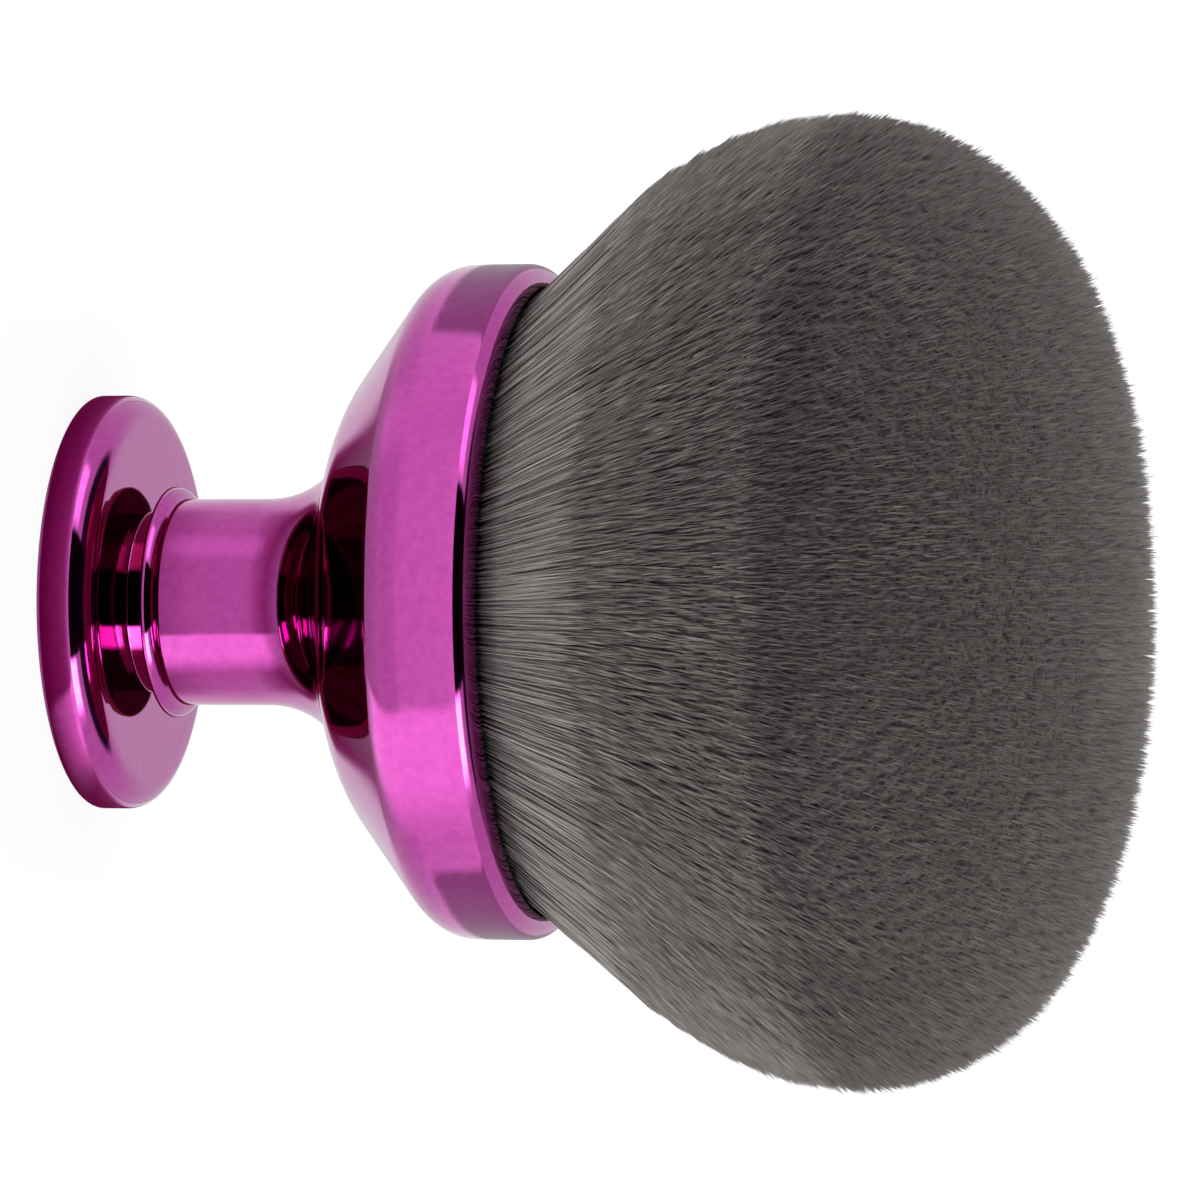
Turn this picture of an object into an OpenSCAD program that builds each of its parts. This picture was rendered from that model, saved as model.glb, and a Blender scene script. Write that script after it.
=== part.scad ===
// Body brush: a domed fibre head in a flared bell, on a short stem with a round palm disc.
// The brush stands on its disc. +Z runs along its axis, from the disc to the fibre tips.

/* [Base disc] */
// Diameter of the palm disc
base_d = 35.2; // [30:0.1:45]
// Thickness of the palm disc
base_t = 4.2; // [3.4:0.1:6]
// Rounding of the disc's edge on the face it stands on
base_back_round = 0.5; // [0.2:0.1:1]
// Rounding of the disc's edge on the side of the stem
base_front_round = 1.9; // [1:0.1:2.2]
// Radius of the hollow curve from the disc up to the bead
foot_fillet = 2.6; // [1.5:0.1:4]
// Diameter of the bead round the foot of the stem
bead_d = 19.6; // [18.8:0.1:22]
// Height of the bead
bead_h = 1.3; // [0.8:0.1:2]
// How far the bead stands out of the neck below it
bead_proud = 0.3; // [0.1:0.05:0.6]

/* [Stem] */
// Diameter of the stem
stem_d = 17.7; // [16:0.1:20]
// Length of the stem between the bead and the bell
stem_len = 13.6; // [12:0.1:24]
// Wall of the hollow stem
stem_wall = 2; // [1.5:0.1:3]
// Radius of the flare at the top of the stem
flare_round = 10; // [8:0.5:14]
// Length of the stretch that flares
flare_len = 5.8; // [3:0.1:7]
// Length of each spigot that reaches into the stem
spigot_len = 2.5; // [1.5:0.1:4]

/* [Bell] */
// Diameter of the bell at its band
bell_d = 56.6; // [54:0.1:66]
// Length of the bell from the stem to its lip
bell_len = 18; // [17:0.1:26]
// Wall of the bell
bell_wall = 2; // [1.5:0.1:2.6]
// Slope of the bell's back beside the stem, from the axis
neck_slope = 75; // [68:0.5:80]
// Diameter at which the back starts to curve up
belly_d = 30; // [28:0.1:34]
// Radius of the curve in the back
belly_round = 14.8; // [10:0.1:18]
// Slope of the back below the shoulder, from the axis
back_slope = 52.5; // [48:0.5:56]
// Radius of the shoulder between back and band
shoulder_round = 4.2; // [4.2:0.1:7]
// Rounding of the lip on its inner side
lip_inner_round = 0.3; // [0.2:0.1:0.8]

/* [Bristle cup] */
// Wall of the cup that holds the fibre bundle
cup_wall = 1.3; // [0.8:0.1:1.8]
// Thickness of the cup's floor
cup_floor = 1.4; // [1:0.1:2]
// Depth of the cup's rim below the lip of the bell
cup_rim_drop = 3.4; // [2.5:0.1:6]
// Depth of set resin under the fibre roots
resin_t = 2.6; // [1.5:0.1:3]
// Thickness of the slice of resin that each layer of fibres is rooted in
root_t = 2; // [1.6:0.1:3]

/* [Head] */
// Diameter of the head at its widest
head_d = 80.8; // [70:0.1:95]
// Height of the fibre tips above the face the brush stands on
total_h = 90; // [84:0.1:110]
// Height of the head's widest place above the lip of the bell
widest_h = 24.8; // [18:0.1:30]
// Width of resin outside the outermost ring of fibre roots
root_margin = 1; // [0.6:0.1:3]
// Gap between neighbouring clumps of fibre at their roots, which opens towards the tips
clump_gap = 0.25; // [0.15:0.05:0.4]
// Gap between the outermost clumps and the lip that they pass
lip_gap = 0.4; // [0.2:0.1:1]
// Lean of the outermost clumps where they pass the lip, from the axis
lip_lean = 44; // [36:1:46]
// Lean of the outermost clumps at their tips, from the axis
tip_lean = 14; // [8:1:20]
// Number of rings of clumps round the middle one
ring_count = 10; // [8:1:10]

/* [Tie screw] */
// Diameter of the screw's shank
screw_d = 4; // [3:0.5:4]
// Diameter of the screw's head
screw_head_d = 7.6; // [6:0.1:9]
// Height of the screw's head
screw_head_h = 2.4; // [1.8:0.1:3]
// Diameter of the washer
washer_d = 9.6; // [8:0.1:12]
// Thickness of the washer
washer_t = 0.8; // [0.5:0.1:1.2]
// Outer diameter of the brass insert
insert_d = 6; // [5:0.1:7]
// Length of the brass insert
insert_len = 5.6; // [4:0.1:6]

/* [Hidden] */

$fn = 96;

// Clearances
slip_fit = 0.1;
screw_clear = 0.25;
cup_gap = 0.15;
resin_gap = 0.05;
layer_gap = 0.1;
tip_gap = 0.3;
cut_over = 1;

// Steps along an arc of an outline
arc_steps = 10;

// Heights, stacked from the face that the brush stands on
neck_z = base_t + foot_fillet;
bead_z = neck_z + bead_h;
base_spigot_z = bead_z + spigot_len;
seam_z = bead_z + stem_len;
bell_spigot_z = seam_z - spigot_len;
lip_z = seam_z + bell_len;
widest_z = lip_z + widest_h;

// Radii of the stem and its bore
stem_r = stem_d / 2;
bore_r = stem_r - stem_wall;
spigot_r = bore_r - slip_fit;
flare_angle = asin(flare_len / flare_round);
seam_r = stem_r + flare_round * (1 - cos(flare_angle));

// The back of the bell: a flat cone, a curve, a steeper cone and the shoulder
bell_r = bell_d / 2;
belly_r = belly_d / 2;
lip_outer_round = bell_wall - lip_inner_round;
shoulder_foot_r = bell_r - shoulder_round * (1 - cos(back_slope));
belly_end_r = belly_r + belly_round * (cos(back_slope) - cos(neck_slope));
belly_z = seam_z + (belly_r - seam_r) / tan(neck_slope);
belly_end_z = belly_z + belly_round * (sin(neck_slope) - sin(back_slope));
shoulder_foot_z = belly_end_z + (shoulder_foot_r - belly_end_r) / tan(back_slope);
shoulder_z = shoulder_foot_z + shoulder_round * sin(back_slope);

// The floor inside the bell, and what stands on it
bell_floor_z = seam_z + bell_wall * sin(neck_slope);
washer_z = bell_floor_z + washer_t;
screw_top_z = washer_z + screw_head_h;
cup_z = screw_top_z + tip_gap;
resin_z = cup_z + cup_floor;
root_z = resin_z + resin_t;
root_top_z = root_z + root_t;
cup_rim_z = lip_z - cup_rim_drop;

// The insert and the screw's point in the hub
insert_top_z = base_spigot_z;
pocket_z = insert_top_z - insert_len - tip_gap;
screw_point_z = pocket_z + tip_gap / 2;

// How deep each lining lies under the bell's outer face
cup_depth = bell_wall + cup_gap;
resin_depth = cup_depth + cup_wall + resin_gap;

// The fibre clumps
head_r = head_d / 2;
dome_power_share = 2.2;
clump_sides = 4;
// Where the sections of a clump stand above its root, as shares of the curve from the lip to its tip
rise_shares = [0, 0.45, 1];
// How far each handle of a clump's curve reaches, as a share of lip to tip
handle_share = 0.36;
// How far each ring is turned against the next, as a share of the place of one clump
turn_share = 0.38;
// The side of a ring or of a clump, as a share of the way from its middle to the middle of the next
side_share = 0.5;
// How closely the clumps of a ring stand, as a share of the number that would make them square
crowd_share = 0.9;
root_r = lining_r(resin_depth, root_z) - root_margin;
foot_z = root_top_z - root_t / 2;
lip_pass_r = bell_r - bell_wall - lip_gap;
// Half the gap between two rings, as a share of the place of one ring
ring_gap_share = clump_gap / 2 * (ring_count + side_share) / root_r;
// The middle clump's flat tip lies at the full height
dome_h = (total_h - widest_z) / pow(cos(90 * outer_side(0)), 2 / dome_power_share);
// Rings in the core, and in the core and middle together, as shares of all rings
layer_shares = [0.4, 0.7];
core_rings = ceil(layer_shares[0] * ring_count);
middle_rings = ceil(layer_shares[1] * ring_count);

// Points of an arc about a centre, each [radius, height]
function arc(centre, r, from, to) = [
    for (i = [0:arc_steps]) let (t = from + (to - from) * i / arc_steps) centre + r * [cos(t), sin(t)]
];

// The bell's outer line from the stem to the top of the shoulder: each point with the slope there
function bell_line() = concat(
    [[seam_r, seam_z, neck_slope]],
    [for (i = [0:arc_steps]) let (a = neck_slope + (back_slope - neck_slope) * i / arc_steps)
        [belly_r + belly_round * (cos(a) - cos(neck_slope)),
         belly_z + belly_round * (sin(neck_slope) - sin(a)), a]],
    [for (i = [0:arc_steps]) let (a = back_slope * (1 - i / arc_steps))
        [bell_r - shoulder_round * (1 - cos(a)), shoulder_z - shoulder_round * sin(a), a]]
);

// The same line, laid a given depth inside the bell
function lining(depth) = [for (p = bell_line()) [p[0] - depth * cos(p[2]), p[1] + depth * sin(p[2])]];

// The stretch of a lining from a height up to the lip, starting with the point at that height
function lining_above(depth, z) = let (
    line = concat(lining(depth), [[bell_r - depth, lip_z]]),
    first = [for (i = [1:len(line) - 1]) if (line[i - 1][1] <= z && line[i][1] > z) i][0],
    low = line[first - 1],
    high = line[first],
    share = (z - low[1]) / (high[1] - low[1])
) concat([low + (high - low) * share], [for (i = [first:len(line) - 1]) line[i]]);

// Radius of a lining at a height
function lining_r(depth, z) = lining_above(depth, z)[0][0];

// Turns an outline about the axis
module turned(points) {
    rotate_extrude() polygon(points);
}

// Palm disc with its foot, bead and the spigot for the stem
module base_disc() {
    disc_r = base_d / 2;
    bead_r = bead_d / 2;
    neck_r = bead_r - bead_proud;
    color("mediumvioletred") difference() {
        turned(concat(
            [[0, 0]],
            arc([disc_r - base_back_round, base_back_round], base_back_round, -90, 0),
            arc([disc_r - base_front_round, base_t - base_front_round], base_front_round, 0, 90),
            arc([neck_r + foot_fillet, neck_z], foot_fillet, 270, 180),
            arc([bead_r - bead_h / 2, neck_z + bead_h / 2], bead_h / 2, -60, 90),
            [[spigot_r, bead_z], [spigot_r, base_spigot_z], [0, base_spigot_z]]
        ));
        translate([0, 0, pocket_z]) cylinder(d = insert_d, h = base_spigot_z - pocket_z + cut_over);
    }
}

// Brass insert that the tie screw is driven into
module foot_insert() {
    color("goldenrod") translate([0, 0, insert_top_z - insert_len]) difference() {
        cylinder(d = insert_d, h = insert_len);
        translate([0, 0, -cut_over]) cylinder(d = screw_d + slip_fit, h = insert_len + 2 * cut_over);
    }
}

// Hollow grip, straight at the foot and flared at the bell
module stem() {
    color("mediumvioletred") turned(concat(
        [[bore_r, bead_z], [stem_r, bead_z]],
        arc([stem_r + flare_round, seam_z - flare_len], flare_round, 180, 180 - flare_angle),
        [[bore_r, seam_z]]
    ));
}

// Steel ring between the two spigots
module stem_weight() {
    color("silver") translate([0, 0, base_spigot_z + slip_fit]) difference() {
        cylinder(r = spigot_r, h = bell_spigot_z - base_spigot_z - 2 * slip_fit);
        translate([0, 0, -cut_over]) cylinder(d = screw_d + 2 * screw_clear, h = stem_len + 2 * cut_over);
    }
}

// Flared cup with a rounded lip, a floor for the screw and a spigot into the stem
module bell() {
    outer = bell_line();
    inner = lining(bell_wall);
    color("mediumvioletred") difference() {
        turned(concat(
            [[0, bell_spigot_z], [spigot_r, bell_spigot_z], [spigot_r, seam_z]],
            [for (p = outer) [p[0], p[1]]],
            arc([bell_r - lip_outer_round, lip_z - lip_outer_round], lip_outer_round, 0, 90),
            arc([bell_r - bell_wall + lip_inner_round, lip_z - lip_inner_round], lip_inner_round, 90, 180),
            [for (i = [len(inner) - 1:-1:0]) inner[i]],
            [[0, bell_floor_z]]
        ));
        translate([0, 0, bell_spigot_z - cut_over])
            cylinder(d = screw_d + 2 * screw_clear, h = bell_floor_z - bell_spigot_z + 2 * cut_over);
    }
}

// Long screw that pulls bell, stem and disc together
module tie_screw() {
    drive_d = screw_head_d / 2;
    drive_h = screw_head_h / 2;
    color("darkgray") difference() {
        union() {
            translate([0, 0, screw_point_z]) cylinder(d = screw_d, h = washer_z - screw_point_z + drive_h);
            translate([0, 0, washer_z]) cylinder(d = screw_head_d, h = screw_head_h);
        }
        translate([0, 0, screw_top_z - drive_h]) cylinder(d = drive_d, h = drive_h + cut_over, $fn = 6);
    }
}

// Washer under the screw's head
module screw_washer() {
    color("silver") translate([0, 0, bell_floor_z]) difference() {
        cylinder(d = washer_d, h = washer_t);
        translate([0, 0, -cut_over]) cylinder(d = screw_d + screw_clear, h = washer_t + 2 * cut_over);
    }
}

// Pot that lines the bell and holds the fibre bundle
module bristle_cup() {
    inner = lining_above(cup_depth + cup_wall, resin_z);
    color("dimgray") intersection() {
        turned(concat(
            [[0, cup_z]],
            lining_above(cup_depth, cup_z),
            [for (i = [len(inner) - 1:-1:0]) inner[i]],
            [[0, resin_z]]
        ));
        cylinder(r = bell_r, h = cup_rim_z);
    }
}

// Set resin under the fibre roots
module glue_bed() {
    floor_z = resin_z + resin_gap;
    color("khaki") turned([
        [0, floor_z], [lining_r(resin_depth, floor_z), floor_z],
        [lining_r(resin_depth, root_z), root_z], [0, root_z]
    ]);
}

// Place of the tip of a clump, [radius, height], for a ring at a share of the head's radius
function tip(share) = let (a = 90 * share, p = 2 / dome_power_share)
    [head_r * pow(sin(a), p), widest_z + dome_h * pow(cos(a), p)];

// Direction of a lean, [radius, height]
function lean(a) = [sin(a), cos(a)];

// The four points that guide a clump's curve above the lip, each [radius, height]
function guides(share) = let (
    start = [lip_pass_r * share, lip_z],
    end = tip(share),
    reach = norm(end - start) * handle_share
) [start, start + reach * lean(lip_lean * share), end - reach * lean(tip_lean * share), end];

// A point of the curve
function curve(g, t) =
    pow(1 - t, 3) * g[0] + 3 * t * pow(1 - t, 2) * g[1] + 3 * t * t * (1 - t) * g[2] + pow(t, 3) * g[3];

// An edge of a clump, straight from its root to the lip and then along its curve, each [radius, height]
function edge(share) = let (g = guides(share))
    concat([[root_r * share, foot_z]], [for (t = rise_shares) curve(g, t)]);

// Share of the head's radius at a place counted in rings, which is 1 at the outer side of the last ring
function ring_edge(place) = place / (ring_count + side_share - ring_gap_share);

// Outer and inner side of a ring as shares of the head's radius
function outer_side(ring) = ring_edge(ring + side_share - ring_gap_share);
function inner_side(ring) = ring_edge(ring - side_share + ring_gap_share);

// Clumps in a ring, in fours so that the head is the same on all four sides, and at least eight
function in_ring(ring) = 4 * max(2, round(crowd_share * 2 * PI * ring / 4));

// The four corners of each clump of a ring, seen from above against the clock, each [share, turn].
// Each ring is turned against the next, and the outermost has a gap on each axis
function ring_corners(ring) = let (
    place = 360 / in_ring(ring),
    half = place * side_share - asin(clump_gap / 2 / (root_r * outer_side(ring))),
    first = (ring_count - ring) * turn_share + side_share
) [
    for (i = [0:in_ring(ring) - 1]) let (turn = place * (first + i)) [
        [outer_side(ring), turn - half], [outer_side(ring), turn + half],
        [inner_side(ring), turn + half], [inner_side(ring), turn - half]
    ]
];

// Corners of the middle clump
function middle_corners() = let (place = 360 / clump_sides)
    [for (k = [0:clump_sides - 1]) [outer_side(0), place * (k + side_share)]];

// Points of one clump between its edges: a section at its root, one at each rise and one at its tip
function clump(corners) = let (edges = [for (c = corners) edge(c[0])]) [
    for (s = [0:len(rise_shares)]) for (k = [0:clump_sides - 1])
        let (p = edges[k][s], turn = corners[k][1]) [p[0] * cos(turn), p[0] * sin(turn), p[1]]
];

// Faces of one clump, for points that start at a given index: its root, its sides and its tip
function clump_faces(first) = let (last = first + len(rise_shares) * clump_sides) concat(
    [for (k = [1:clump_sides - 2]) [first, first + k, first + k + 1]],
    [for (s = [0:len(rise_shares) - 1]) for (k = [0:clump_sides - 1]) let (
        a = first + s * clump_sides + k,
        b = first + s * clump_sides + (k + 1) % clump_sides
    ) each [[a, a + clump_sides, b], [b, a + clump_sides, b + clump_sides]]],
    [for (k = [1:clump_sides - 2]) [last, last + k + 1, last + k]]
);

// Radius at a height of the border outside a ring, which leans with the clumps
function border(ring, z) =
    ring_edge(ring + side_share) * (root_r + (lip_pass_r - root_r) * (z - foot_z) / (lip_z - foot_z));

// Slice of the resin inside the border of a ring
module slice(ring, gap, over) {
    translate([0, 0, root_z - over]) cylinder(
        r1 = border(ring, root_z - over) + gap,
        r2 = border(ring, root_top_z + over) + gap,
        h = root_t + 2 * over
    );
}

// All clumps of the rings from one to another, rooted in their slice of the resin
module bristles(from, to) {
    clumps = concat(
        from > 0 ? [] : [middle_corners()],
        [for (ring = [max(from, 1):to]) each ring_corners(ring)]
    );
    size = (len(rise_shares) + 1) * clump_sides;
    difference() {
        if (to < ring_count) slice(to, -layer_gap / 2, 0);
        else translate([0, 0, root_z]) cylinder(r = lining_r(resin_depth, root_z), h = root_t);
        if (from > 0) slice(from - 1, layer_gap / 2, cut_over);
    }
    polyhedron(
        points = [for (corners = clumps) each clump(corners)],
        faces = [for (i = [0:len(clumps) - 1]) each clump_faces(i * size)]
    );
}

// Middle of the fibre head
module bristles_core() {
    color("dimgray") bristles(0, core_rings);
}

// Fibres between the core and the rim
module bristles_middle() {
    color("gray") bristles(core_rings + 1, middle_rings);
}

// Fibres at the rim, which fan out past the bell
module bristles_outer() {
    color("darkgray") bristles(middle_rings + 1, ring_count);
}

base_disc();
foot_insert();
stem();
stem_weight();
bell();
tie_screw();
screw_washer();
bristle_cup();
glue_bed();
bristles_core();
bristles_middle();
bristles_outer();
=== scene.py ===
"""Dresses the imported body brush: mirror-metallised handle, dense fibre head, and a plain studio."""

import logging
import math
from dataclasses import dataclass, field
from enum import Enum

import bmesh
import bpy
import numpy as np
from bpy.types import Material, Mesh, Node, NodeSocket, NodeTree, Object
from mathutils import Matrix, Vector, noise


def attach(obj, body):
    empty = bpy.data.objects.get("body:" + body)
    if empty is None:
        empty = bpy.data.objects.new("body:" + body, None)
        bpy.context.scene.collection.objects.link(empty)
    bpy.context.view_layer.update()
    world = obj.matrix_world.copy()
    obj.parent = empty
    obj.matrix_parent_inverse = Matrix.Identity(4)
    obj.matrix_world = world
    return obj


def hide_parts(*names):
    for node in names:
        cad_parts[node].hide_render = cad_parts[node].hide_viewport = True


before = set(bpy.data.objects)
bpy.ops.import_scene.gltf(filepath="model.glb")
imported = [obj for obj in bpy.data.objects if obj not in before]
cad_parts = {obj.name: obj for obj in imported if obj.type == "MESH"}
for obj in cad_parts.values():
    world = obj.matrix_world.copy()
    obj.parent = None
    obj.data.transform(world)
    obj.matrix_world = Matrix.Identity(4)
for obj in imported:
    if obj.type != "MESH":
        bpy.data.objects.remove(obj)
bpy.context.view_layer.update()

MM = 0.001
BODY = "root"
log = logging.getLogger("body_brush")


# Shared helpers


def linear(hex_colour: str) -> tuple[float, float, float, float]:
    """Turns an sRGB hex colour to linear light.

    Args:
        hex_colour: Six hex digits, with or without a leading hash.

    Returns:
        Red, green, blue and an alpha of one, as linear values.
    """
    digits = hex_colour.lstrip("#")
    parts = [int(digits[i : i + 2], 16) / 255 for i in (0, 2, 4)]
    light = [c / 12.92 if c <= 0.04045 else ((c + 0.055) / 1.055) ** 2.4 for c in parts]
    return light[0], light[1], light[2], 1.0


def add_node(tree: NodeTree, kind: str, inputs: dict | None = None, **settings) -> Node:
    """Adds a shader node with its settings, its input values and its links.

    Args:
        tree: The node tree that gets the node.
        kind: The node's type name, without the ShaderNode before it.
        inputs: Values or output sockets by input name or index.
        **settings: Attributes to set on the node itself.

    Returns:
        The new node.
    """
    made = tree.nodes.new(f"ShaderNode{kind}")
    for name, value in settings.items():
        setattr(made, name, value)
    for name, value in (inputs or {}).items():
        if isinstance(value, NodeSocket):
            tree.links.new(value, made.inputs[name])
        else:
            made.inputs[name].default_value = value
    return made


def new_material(name: str) -> tuple[Material, NodeTree, Node]:
    """Makes an empty node material.

    Args:
        name: The material's name.

    Returns:
        The material, its node tree and its output node.
    """
    material = bpy.data.materials.new(name)
    material.use_nodes = True
    tree = material.node_tree
    tree.nodes.clear()
    return material, tree, tree.nodes.new("ShaderNodeOutputMaterial")


def show(name: str, mesh: Mesh, material: Material) -> Object:
    """Puts a finished mesh into the scene as one object at the origin.

    Args:
        name: The object's name.
        mesh: The finished mesh.
        material: The finish of its surface.

    Returns:
        The object.
    """
    mesh.name = name
    mesh.materials.clear()
    mesh.materials.append(material)
    made = bpy.data.objects.new(name, mesh)
    bpy.context.scene.collection.objects.link(made)
    return made


def keep(name: str, mesh: Mesh, finish: Material, slot: str, *nodes: str) -> None:
    """Shows a finished mesh as a piece that rides on the brush and stands for CAD nodes.

    Args:
        name: The piece's name.
        mesh: The finished mesh.
        finish: The finish of its surface.
        slot: The record's material slot; not used.
        *nodes: CAD nodes that the piece stands for.
    """
    piece = show(name, mesh, finish)
    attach(piece, BODY)
    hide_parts(*nodes)
    log.info("%s: %d faces", piece.name, len(mesh.polygons))


def in_radians(degrees: tuple[float, ...]) -> tuple[float, ...]:
    """Turns angles from degrees to radians."""
    return tuple(math.radians(angle) for angle in degrees)


# Finishes


@dataclass(frozen=True)
class MetallisedLacquer:
    """Vacuum-metallised ABS under tinted lacquer: a magenta mirror, paler and whiter at its limbs."""

    colour: str = "#D04BB4"
    roughness: float = 0.055
    coat_weight: float = 0.55
    coat_roughness: float = 0.03
    peel_scale_mm: float = 0.9
    peel_depth_mm: float = 0.0035
    mottle_mm: float = 0.8
    mottle_ends: tuple[float, ...] = (0.32, 0.68)
    mottle_tints: tuple[tuple[float, ...], ...] = ((0.94, 0.84, 0.94), (1.05, 1.18, 1.06))

    def material(self) -> Material:
        """Builds the material.

        Returns:
            The node material.
        """
        made, tree, output = new_material("vacuum_metallised_abs_magenta_lacquer")
        place = add_node(tree, "TexCoord").outputs["Object"]
        # The lacquer's uneven depth, seen as soft cloudy blotches in the colour
        cloud = add_node(tree, "TexNoise", {
            "Vector": place, "Scale": 1 / (self.mottle_mm * MM), "Detail": 3.0, "Roughness": 0.6})
        red, green, blue, _ = linear(self.colour)
        tint = add_node(tree, "ValToRGB", {"Fac": cloud.outputs["Fac"]})
        for stop, end, share in zip(tint.color_ramp.elements, self.mottle_ends, self.mottle_tints):
            stop.position = end
            stop.color = (red * share[0], green * share[1], blue * share[2], 1)
        # Orange peel of sprayed lacquer: slight long waves in the reflections
        peel = add_node(tree, "TexNoise", {
            "Vector": place, "Scale": 1 / (self.peel_scale_mm * MM), "Detail": 1.5, "Roughness": 0.5})
        bump = add_node(tree, "Bump", {
            "Height": peel.outputs["Fac"], "Distance": self.peel_depth_mm * MM, "Strength": 1.0})
        haze = add_node(tree, "MapRange", {
            "Value": cloud.outputs["Fac"], "From Min": 0.3, "From Max": 0.7,
            "To Min": self.roughness * 0.8, "To Max": self.roughness * 1.35})
        shader = add_node(tree, "BsdfPrincipled", {
            "Base Color": tint.outputs["Color"], "Metallic": 1.0, "Roughness": haze.outputs["Result"],
            "Coat Weight": self.coat_weight, "Coat Roughness": self.coat_roughness,
            "Normal": bump.outputs["Normal"]})
        tree.links.new(shader.outputs["BSDF"], output.inputs["Surface"])
        return made


@dataclass(frozen=True)
class MouldedPlastic:
    """Injection-moulded black polypropylene: near black, with a soft wide gloss and a fine grain."""

    name: str = "moulded_black_polypropylene"
    colour: str = "#141315"
    roughness: float = 0.42
    grain_mm: float = 0.25

    def material(self) -> Material:
        """Builds the material.

        Returns:
            The node material.
        """
        made, tree, output = new_material(self.name)
        place = add_node(tree, "TexCoord").outputs["Object"]
        grain = add_node(tree, "TexNoise", {
            "Vector": place, "Scale": 1 / (self.grain_mm * MM), "Detail": 2.0})
        bump = add_node(tree, "Bump", {
            "Height": grain.outputs["Fac"], "Distance": 0.01 * MM, "Strength": 0.6})
        worn = add_node(tree, "MapRange", {
            "Value": grain.outputs["Fac"], "To Min": self.roughness * 0.8, "To Max": self.roughness * 1.2})
        shader = add_node(tree, "BsdfPrincipled", {
            "Base Color": linear(self.colour), "Roughness": worn.outputs["Result"],
            "Normal": bump.outputs["Normal"]})
        tree.links.new(shader.outputs["BSDF"], output.inputs["Surface"])
        return made


@dataclass(frozen=True)
class TurnedMetal:
    """Turned metal: fine rings of tool marks round the axis that break the gloss into circles."""

    name: str
    colour: str
    roughness: float
    ring_mm: float = 0.35
    mark_depth_mm: float = 0.006
    stain_mm: float = 1.2

    def material(self) -> Material:
        """Builds the material.

        Returns:
            The node material.
        """
        made, tree, output = new_material(self.name)
        place = add_node(tree, "TexCoord").outputs["Object"]
        rings = add_node(tree, "TexWave", {
            "Vector": place, "Scale": 1 / (self.ring_mm * MM * 2 * math.pi),
            "Distortion": 0.4, "Detail": 1.0}, wave_type="BANDS", bands_direction="Z")
        bump = add_node(tree, "Bump", {
            "Height": rings.outputs["Fac"], "Distance": self.mark_depth_mm * MM, "Strength": 0.7})
        stain = add_node(tree, "TexNoise", {
            "Vector": place, "Scale": 1 / (self.stain_mm * MM), "Detail": 3.0})
        worn = add_node(tree, "MapRange", {
            "Value": stain.outputs["Fac"], "To Min": self.roughness * 0.7, "To Max": self.roughness * 1.3})
        shader = add_node(tree, "BsdfPrincipled", {
            "Base Color": linear(self.colour), "Metallic": 1.0,
            "Roughness": worn.outputs["Result"], "Normal": bump.outputs["Normal"]})
        tree.links.new(shader.outputs["BSDF"], output.inputs["Surface"])
        return made


@dataclass(frozen=True)
class SetEpoxy:
    """Cast epoxy: amber, glossy and faintly cloudy with trapped bubbles."""

    colour: str = "#8E7B4C"
    bubble_mm: float = 0.8

    def material(self) -> Material:
        """Builds the material.

        Returns:
            The node material.
        """
        made, tree, output = new_material("cast_epoxy_amber")
        place = add_node(tree, "TexCoord").outputs["Object"]
        bubbles = add_node(tree, "TexVoronoi", {"Vector": place, "Scale": 1 / (self.bubble_mm * MM)})
        cloud = add_node(tree, "MapRange", {
            "Value": bubbles.outputs["Distance"], "To Min": 0.12, "To Max": 0.3})
        shader = add_node(tree, "BsdfPrincipled", {
            "Base Color": linear(self.colour), "Roughness": cloud.outputs["Result"],
            "Subsurface Weight": 0.3, "Subsurface Scale": 1.5 * MM})
        tree.links.new(shader.outputs["BSDF"], output.inputs["Surface"])
        return made


@dataclass(frozen=True)
class FineFibre:
    """Crimped synthetic fibre, charcoal grey: satin strands; its tone carries painted shade, black at the
    mouth, and painted sheen, pale at the limb.
    """

    # root is painted shade: the near black of fibres where they leave the bell's mouth
    root: str = "#0B0A0A"
    dark: str = "#3A3635"
    middle: str = "#6A6563"
    pale: str = "#A8A3A0"
    roughness: float = 0.48
    sheen: float = 0.35

    def material(self) -> Material:
        """Builds the material.

        Returns:
            The node material.
        """
        made, tree, output = new_material("crimped_fibre_charcoal")
        tone = add_node(tree, "Attribute", attribute_name="fibre_tone_and_shade", attribute_type="GEOMETRY")
        ramp = add_node(tree, "ValToRGB", {"Fac": tone.outputs["Fac"]})
        # The ramp's lowest stop is painted shade at the bell's mouth
        ramp.color_ramp.elements[0].color = linear(self.root)
        ramp.color_ramp.elements[1].color = linear(self.pale)
        ramp.color_ramp.elements.new(0.15).color = linear(self.dark)
        ramp.color_ramp.elements.new(0.5).color = linear(self.middle)
        shader = add_node(tree, "BsdfPrincipled", {
            "Base Color": ramp.outputs["Color"], "Roughness": self.roughness, "Specular IOR Level": 0.45,
            "Sheen Weight": self.sheen, "Sheen Roughness": 0.45, "Sheen Tint": linear("#E6E2DF")})
        tree.links.new(shader.outputs["BSDF"], output.inputs["Surface"])
        return made


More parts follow.
